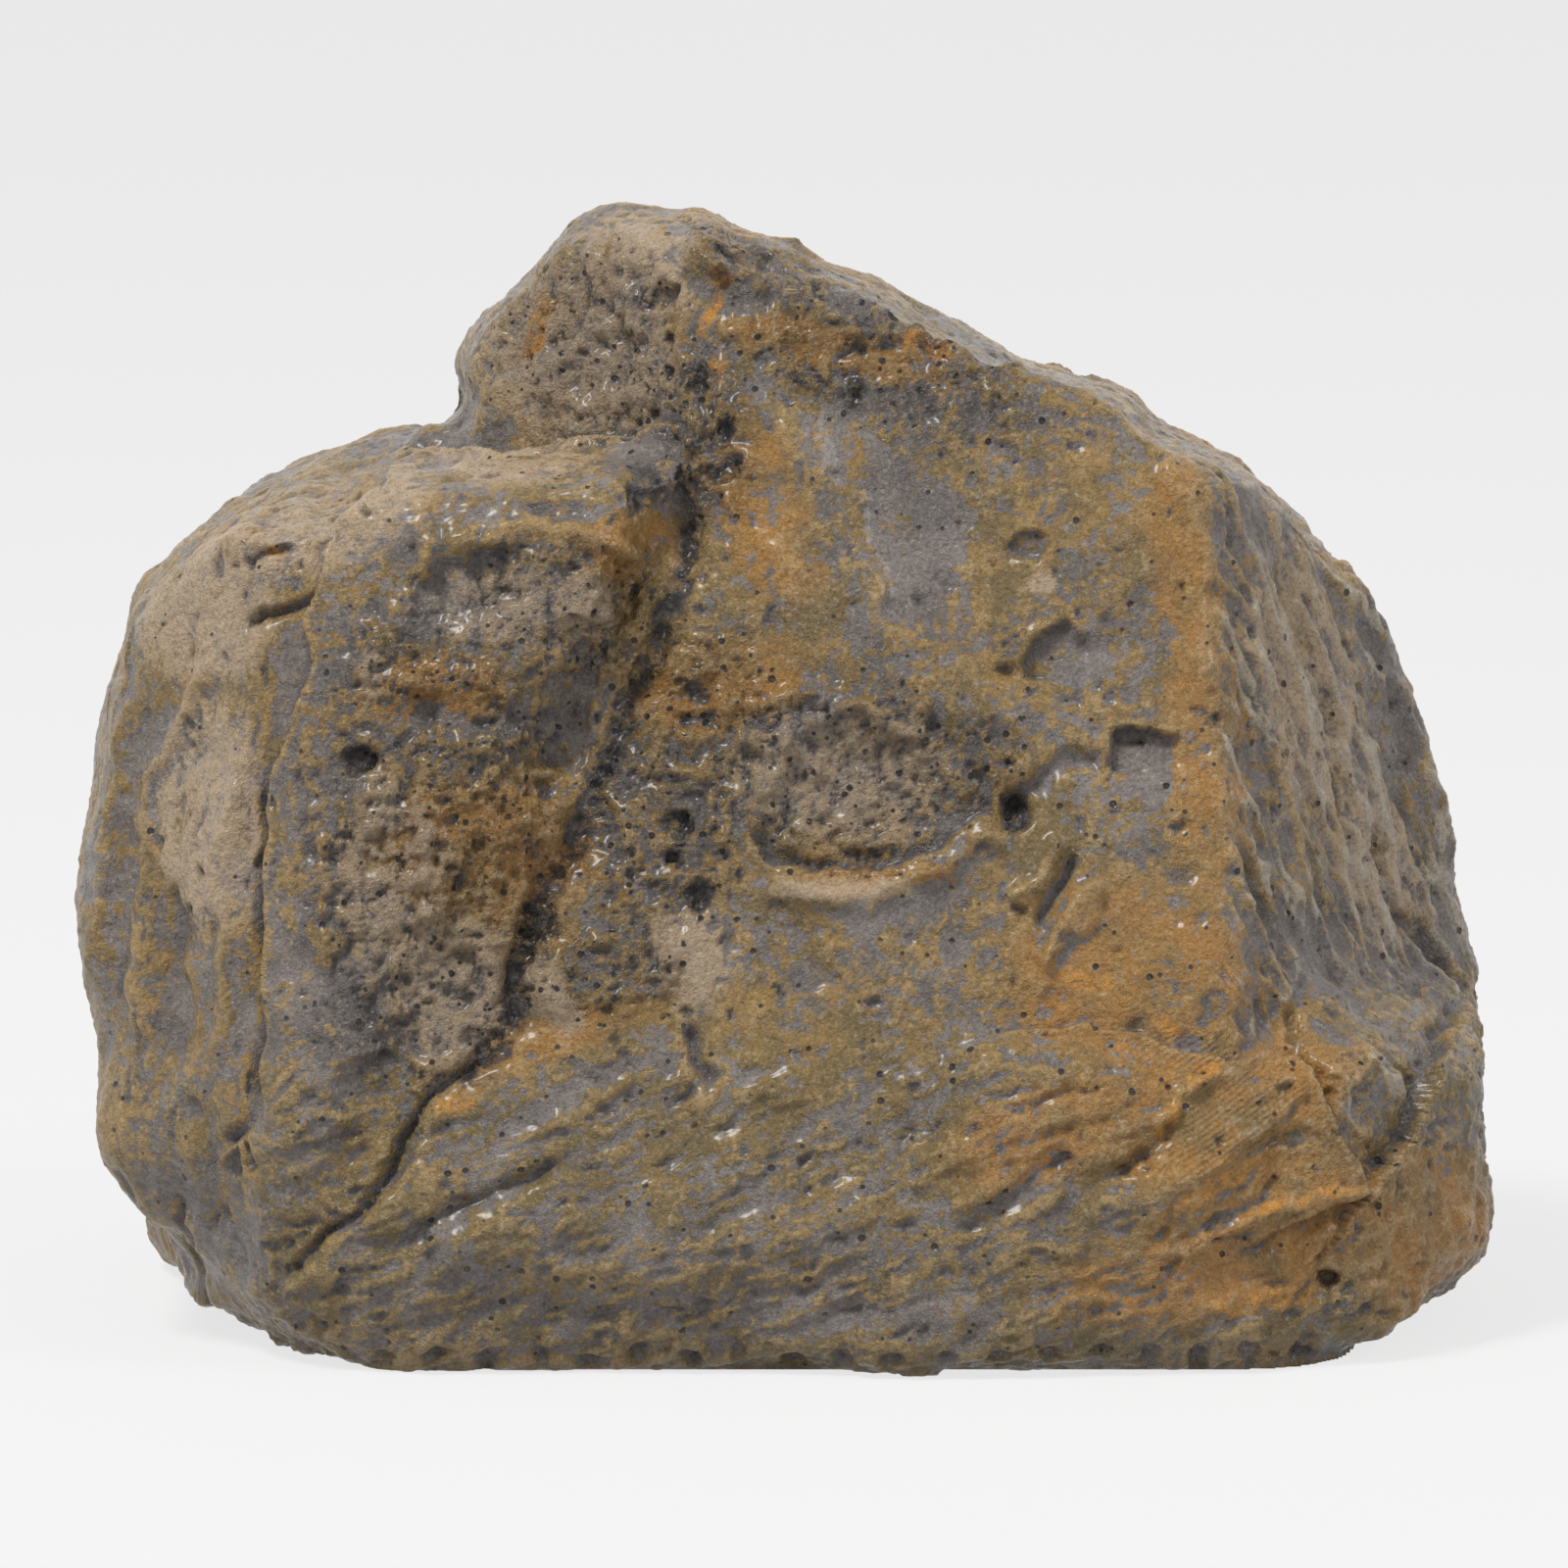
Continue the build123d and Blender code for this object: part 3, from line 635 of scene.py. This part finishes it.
def add(tree, kind, inputs=None, **settings):
    """Add a node with its settings; an input is a value, a hex colour, a socket or a node."""
    made = tree.nodes.new(kind)
    for name, value in settings.items():
        setattr(made, name, value)
    for name, value in (inputs or {}).items():
        if isinstance(value, bpy.types.Node):
            value = next(out for out in value.outputs if out.enabled)
        if isinstance(value, bpy.types.NodeSocket):
            tree.links.new(value, made.inputs[name])
        else:
            made.inputs[name].default_value = linear(value) if isinstance(value, str) else value
    return made


def new_material(name):
    """A material and its tree, which is empty."""
    material = bpy.data.materials.new(name)
    material.use_nodes = True
    material.node_tree.nodes.clear()
    return material, material.node_tree


# Painted stone resin: a grey undercoat, an ochre wash rubbed back so that the dents stay grey,
# rust and taupe touched in by brush, and a satin varnish that glints on the rough patches.
# Painted light goes into this colour too: painted shade in the crack, the holes, the deepest hollows and over
# the lower part, dark specks of painted shade, pale specks as painted glints, and painted sheen on the side's
# ridges and on faces that turn up to the light
paint, tree = new_material("satin_painted_stone_resin")
here = add(tree, "ShaderNodeTexCoord").outputs["Object"]

mask = {}
for name, values in MASKS.items():
    stored = stone.data.attributes.new(name, "FLOAT", "POINT")
    stored.data.foreach_set("value", np.asarray(values, dtype=np.float32))
    mask[name] = add(tree, "ShaderNodeAttribute", attribute_name=name).outputs["Fac"]

GRAINS = {  # size of the lumps in millimetres, detail, roughness, distortion
    "patchy": (5.0, 5, 0.6, 0.4),
    "washed": (3.5, 5, 0.7, 0.0),
    "blotchy": (1.0, 5, 0.7, 0.6),
    "gritty": (0.55, 4, 0.8, 0.0),
    "speckled": (0.35, 4, 0.7, 0.0),
}
grain = {}
for name, (size, detail, rough, distortion) in GRAINS.items():
    grain[name] = add(tree, "ShaderNodeTexNoise", {
        "Vector": here, "Scale": 1 / (size * MM), "Detail": detail, "Roughness": rough,
        "Distortion": distortion,
    })

# The edges of these masks are broken up by blotches and speckles, so that no coat ends cleanly
BROKEN = (("worn", -1.2, 0.8), ("bare", 1.1, 0.7), ("painted_sheen_streaks", 0.0, 0.8))
for name, blotches, speckles in BROKEN:
    for pattern, amount in (("blotchy", blotches), ("speckled", speckles)):
        mask[name] = add(tree, "ShaderNodeMath", {
            0: grain[pattern], 1: amount, 2: mask[name],
        }, operation="MULTIPLY_ADD")

# Bubbles and pinholes too small for the mesh: cells, of which each zone's share is open
# The darkness of each hole is painted shade in it; its depth goes into the bumps
HOLES = {  # cell in millimetres, channel that draws the lot, zone, rim and floor in cells, darkness
    "bubble": (1.3, "Red", "bubbly", 0.24, 0.13, 1.0),
    "pinhole": (0.8, "Green", "pinholed", 0.26, 0.14, 0.95),
}
hole = {}
for name, (size, channel, zone, rim, floor, darkness) in HOLES.items():
    cells = add(tree, "ShaderNodeTexVoronoi", {"Vector": here, "Scale": 1 / (size * MM), "Randomness": 1.0})
    lot = add(tree, "ShaderNodeSeparateColor", {"Color": cells.outputs["Color"]}).outputs[channel]
    lead = add(tree, "ShaderNodeMath", {0: mask[zone], 1: lot}, operation="SUBTRACT")
    opened = add(tree, "ShaderNodeMapRange", {
        "Value": lead, "From Min": -0.01, "From Max": 0.01, "To Max": darkness,
    }, interpolation_type="SMOOTHSTEP")
    sunken = add(tree, "ShaderNodeMapRange", {
        "Value": cells, "From Min": rim, "From Max": floor,
    }, interpolation_type="SMOOTHSTEP")
    hole[name] = add(tree, "ShaderNodeMath", {0: sunken, 1: opened}, operation="MULTIPLY")

# Painted shade: the crack, the pressed and the drawn bubbles, the pinholes and the deepest hollows are
# painted near black
ragged_crack = add(tree, "ShaderNodeMapRange", {
    "Value": grain["blotchy"], "From Min": 0.36, "From Max": 0.56,
}, interpolation_type="SMOOTHSTEP")
dark = add(tree, "ShaderNodeMath", {0: mask["painted_crack_shade"], 1: ragged_crack}, operation="MULTIPLY")
for other in (mask["pitted"], hole["bubble"], hole["pinhole"], mask["painted_hollow_shade"]):
    dark = add(tree, "ShaderNodeMath", {0: dark, 1: other}, operation="MAXIMUM")

undertone = add(tree, "ShaderNodeMapRange", {
    "Value": grain["patchy"], "From Min": 0.35, "From Max": 0.65,
}, interpolation_type="SMOOTHSTEP")
undercoat = add(tree, "ShaderNodeMix", {0: undertone, 6: "#69625f", 7: "#867e7a"}, data_type="RGBA")

# The coats in the order of painting: colour, the mask it is held to, the pattern that
# breaks it up, the pattern's values from which and to which it comes in, least and most cover
COATS = (
    ("#9a7a42", 1.0, grain["washed"], 0.40, 0.60, 0, 1),
    # Painted shade: a darker olive over the lower part
    ("#6d5f37", mask["painted_low_shade"], 1.0, 0, 1, 0, 1),
    ("#ab7a35", mask["rusty"], grain["patchy"], 0.35, 0.6, 0.2, 0.95),
    ("#b59767", 1.0, mask["worn"], 0.35, 0.9, 0, 0.6),
    (undercoat, 1.0, mask["bare"], 1.35, 1.61, 0, 0.95),
    # Pale taupe: dry-brushing, and in part painted sheen
    ("#bfaa93", mask["pale"], mask["worn"], 0.05, 0.65, 0, 0.62),
    # Painted sheen: pale streaks along the side's ridges
    ("#b5aa97", 1.0, mask["painted_sheen_streaks"], 0.65, 1.2, 0, 0.8),
    ("#c98c30", mask["stained"], grain["blotchy"], 0.35, 0.6, 0, 1),
    # Painted shade: dark specks all over, for the shade in the fine grain
    ("#3a332c", 1.0, grain["speckled"], 0.52, 0.30, 0, 0.38),
    # Painted highlight: pale specks as glints
    ("#cbbfa9", mask["painted_glints"], grain["speckled"], 0.53, 0.70, 0, 1),
    # Painted shade: near black in the crack, the holes and the deepest hollows
    ("#2a2727", dark, 1.0, 0, 1, 0, 1),
    ("#4a4846", mask["in_seat"], 1.0, 0, 1, 0, 1),
)
colour = "#78643a"
for cover, held_to, pattern, start, end, least, most in COATS:
    share = add(tree, "ShaderNodeMapRange", {
        "Value": pattern, "From Min": start, "From Max": end, "To Min": least, "To Max": most,
    }, interpolation_type="SMOOTHSTEP")
    share = add(tree, "ShaderNodeMath", {0: share, 1: held_to}, operation="MULTIPLY")
    colour = add(tree, "ShaderNodeMix", {0: share, 6: colour, 7: cover}, data_type="RGBA")

satin = add(tree, "ShaderNodeMapRange", {
    "Value": grain["speckled"], "From Min": 0.35, "From Max": 0.65, "To Min": 0.22, "To Max": 0.42,
}, interpolation_type="SMOOTHSTEP")

BRISTLES = 0.4 * MM  # apart
brush_run = add(tree, "ShaderNodeMapping", {"Vector": here, "Rotation": (0, math.radians(32), 0)})
brush_lines = add(tree, "ShaderNodeTexWave", {
    "Vector": brush_run, "Scale": 2 * math.pi / 20 / BRISTLES,
    "Distortion": 4.0, "Detail": 1.0, "Detail Scale": 0.2,
}, bands_direction="Z").outputs["Fac"]
RELIEF = 0.6 * MM  # what a pattern's whole range stands for
height = 0.0
for pattern, amount in (
    (grain["gritty"], mask["gritty"]), (brush_lines, mask["brushed"]), (grain["patchy"], 0.5),
    (hole["bubble"], -1.1), (hole["pinhole"], -0.42), (grain["blotchy"], 0.9),
):
    height = add(tree, "ShaderNodeMath", {0: pattern, 1: amount, 2: height}, operation="MULTIPLY_ADD")
bumps = add(tree, "ShaderNodeBump", {"Height": height, "Strength": 1.0, "Distance": RELIEF})

varnished = add(tree, "ShaderNodeBsdfPrincipled", {
    "Base Color": colour, "Roughness": satin, "Normal": bumps,
    "IOR": 1.5, "Coat Weight": 0.22, "Coat Roughness": 0.2,
})
add(tree, "ShaderNodeOutputMaterial", {"Surface": varnished})

stone.data.materials.clear()
stone.data.materials.append(paint)
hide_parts("rock_shell")
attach(stone, "rock")


# ---------------------------------------------------------------------------
# The tray and its door: black ABS, injection moulded, the visible faces spark-eroded
# to a fine matt grain. The door is a shade lighter, because hands have polished it.

SPARK_GRAIN = 0.5 * MM  # drawn coarser than the real 0.15 mm, so that it shows
SPARK_DEPTH = 0.05 * MM
WEAR_SPREAD = 12  # how much broader than the grain the change of tone is


def finish(node, material):
    """Give a node of the frame its finish."""
    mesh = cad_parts[node].data
    mesh.materials.clear()
    mesh.materials.append(material)


def textured(name, dark, light, size, shine, depth, ior=1.5, metal=0.0):
    """A moulded, foamed or drawn surface: two close tones, its own grain and its own gloss."""
    material, tree = new_material(name)
    here = add(tree, "ShaderNodeTexCoord").outputs["Object"]
    fine = add(tree, "ShaderNodeTexNoise", {"Vector": here, "Scale": 1 / size, "Detail": 3.0})
    wear = add(tree, "ShaderNodeTexNoise", {"Vector": here, "Scale": 1 / (size * WEAR_SPREAD), "Detail": 4.0})
    tone = add(tree, "ShaderNodeMapRange", {"Value": wear, "From Min": 0.35, "From Max": 0.7})
    base = add(tree, "ShaderNodeMix", {0: tone, 6: dark, 7: light}, data_type="RGBA")
    gloss = add(tree, "ShaderNodeMapRange", {
        "Value": fine, "From Min": 0.3, "From Max": 0.7, "To Min": shine[0], "To Max": shine[1],
    })
    bump = add(tree, "ShaderNodeBump", {"Height": fine, "Strength": 0.6, "Distance": depth})
    surface = add(tree, "ShaderNodeBsdfPrincipled", {
        "Base Color": base, "Roughness": gloss, "Normal": bump, "Metallic": metal,
    })
    if not metal:
        surface.inputs["IOR"].default_value = ior
    add(tree, "ShaderNodeOutputMaterial", {"Surface": surface})
    return material


# Spark-eroded ABS: an even satin black without glints
PLASTICS = {  # node: name, darker and lighter tone, roughness from and to
    "base_tray": ("moulded_black_abs", "#232427", "#303135", (0.48, 0.62)),
    "door": ("moulded_charcoal_abs", "#2b2c30", "#393a3f", (0.42, 0.56)),
}
for node, (name, dark_tone, light_tone, shine) in PLASTICS.items():
    finish(node, textured(name, dark_tone, light_tone, SPARK_GRAIN, shine, SPARK_DEPTH, ior=1.53))


# ---------------------------------------------------------------------------
# Gaskets and pad: die-cut closed-cell foam under the flange and in the well,
# and a moulded rubber ring in its groove round the well's mouth.

FOAM_CELL = 0.7 * MM  # drawn coarser than the real 0.3 mm, so that it shows
RUBBER_GRAIN = 0.6 * MM  # likewise, for a mould's fine matt

# Foam is dull all over, with its cut cells; the rubber has the low gloss of its mould
foam = textured("closed_cell_eva_foam", "#3a3a3c", "#4a4a4d", FOAM_CELL, (0.8, 0.95), 0.12 * MM, ior=1.45)
rubber = textured("moulded_epdm_rubber", "#1d1d1e", "#29292a", RUBBER_GRAIN, (0.55, 0.7), 0.04 * MM, ior=1.52)
finish("tray_gasket", foam)
finish("key_pad", foam)
finish("door_gasket", rubber)


# ---------------------------------------------------------------------------
# Screws, inserts and pin: cold-headed stainless screws in turned brass inserts,
# and a length of drawn stainless wire as the hinge pin.

METALS = {  # node: name, darker and lighter tone, grain, roughness from and to
    "tray_screws": ("passivated_stainless_screws", "#9b9a97", "#b4b2ae", 0.8 * MM, (0.25, 0.38)),
    "hinge_pin": ("drawn_stainless_wire", "#a2a19e", "#bdbbb7", 0.6 * MM, (0.18, 0.3)),
    "screw_inserts": ("turned_brass", "#b08d4f", "#c7a566", 0.8 * MM, (0.25, 0.4)),
}
METAL_GRAIN_DEPTH = 0.01 * MM  # faint, so that they keep a clean gleam
for node, look in METALS.items():
    finish(node, textured(*look, METAL_GRAIN_DEPTH, metal=1.0))


# ---------------------------------------------------------------------------
# The studio: a pale sheet under the stone, a soft white room round it, one lamp above
# on the left and a weaker one on the right. The sheet lets most of the room's white
# through to the eye, so that it is pale, keeps the shadow, and shows the open door.

SHEET = 6.0  # half its width
SHEET_DROP = 0.05 * MM  # clear of the ring that the stone stands on
SHEET_CLEAR = 0.75  # how much of it the eye sees through
ROOM_LIGHT = 0.5


def seen_by_eye(tree):
    """1 for what the eye sees, straight, in a gloss or through glass, and 0 for what lights."""
    ray = add(tree, "ShaderNodeLightPath")
    seen = ray.outputs["Is Camera Ray"]
    for other in ("Is Glossy Ray", "Is Transmission Ray"):
        seen = add(tree, "ShaderNodeMath", {0: seen, 1: ray.outputs[other]}, operation="MAXIMUM")
    return seen


def lamp(name, place, size, power):
    """A soft square lamp that faces the stone."""
    light = bpy.data.lights.new(name, "AREA")
    light.size = size
    light.energy = power
    thing = bpy.data.objects.new(name, light)
    thing.location = place
    thing.rotation_euler = (VIEW_TARGET - Vector(place)).to_track_quat("-Z", "Y").to_euler()
    bpy.context.scene.collection.objects.link(thing)


sheet_mesh = bpy.data.meshes.new("white_sweep")
corners = [(x * SHEET, y * SHEET, -SHEET_DROP) for x, y in ((-1, -1), (1, -1), (1, 1), (-1, 1))]
sheet_mesh.from_pydata(corners, [], [(0, 1, 2, 3)])
sheet = bpy.data.objects.new("white_sweep", sheet_mesh)
bpy.context.scene.collection.objects.link(sheet)

# Matt paper: no gloss at all, only the soft shadow
sheet_paper, tree = new_material("matt_white_paper")
see_through = add(tree, "ShaderNodeMath", {0: seen_by_eye(tree), 1: SHEET_CLEAR}, operation="MULTIPLY")
paper = add(tree, "ShaderNodeBsdfDiffuse", {"Color": "#b8b8b8"})
clear = add(tree, "ShaderNodeBsdfTransparent")
mixed = add(tree, "ShaderNodeMixShader", {"Fac": see_through, 1: paper, 2: clear})
add(tree, "ShaderNodeOutputMaterial", {"Surface": mixed})
sheet_mesh.materials.append(sheet_paper)

world = bpy.data.worlds.new("white_room")
world.use_nodes = True
tree = world.node_tree
tree.nodes.clear()
room_light = add(tree, "ShaderNodeBackground", {"Color": "#ffffff", "Strength": ROOM_LIGHT})
room_white = add(tree, "ShaderNodeBackground", {"Color": "#ffffff", "Strength": 1.0})
room = add(tree, "ShaderNodeMixShader", {"Fac": seen_by_eye(tree), 1: room_light, 2: room_white})
add(tree, "ShaderNodeOutputWorld", {"Surface": room})
bpy.context.scene.world = world

lamp("key_lamp", (-0.38, -0.35, 0.9), 0.2, 8.5)
lamp("fill_lamp", (0.7, -0.3, 0.6), 0.25, 2.0)

bpy.context.scene.view_settings.view_transform = "Standard"
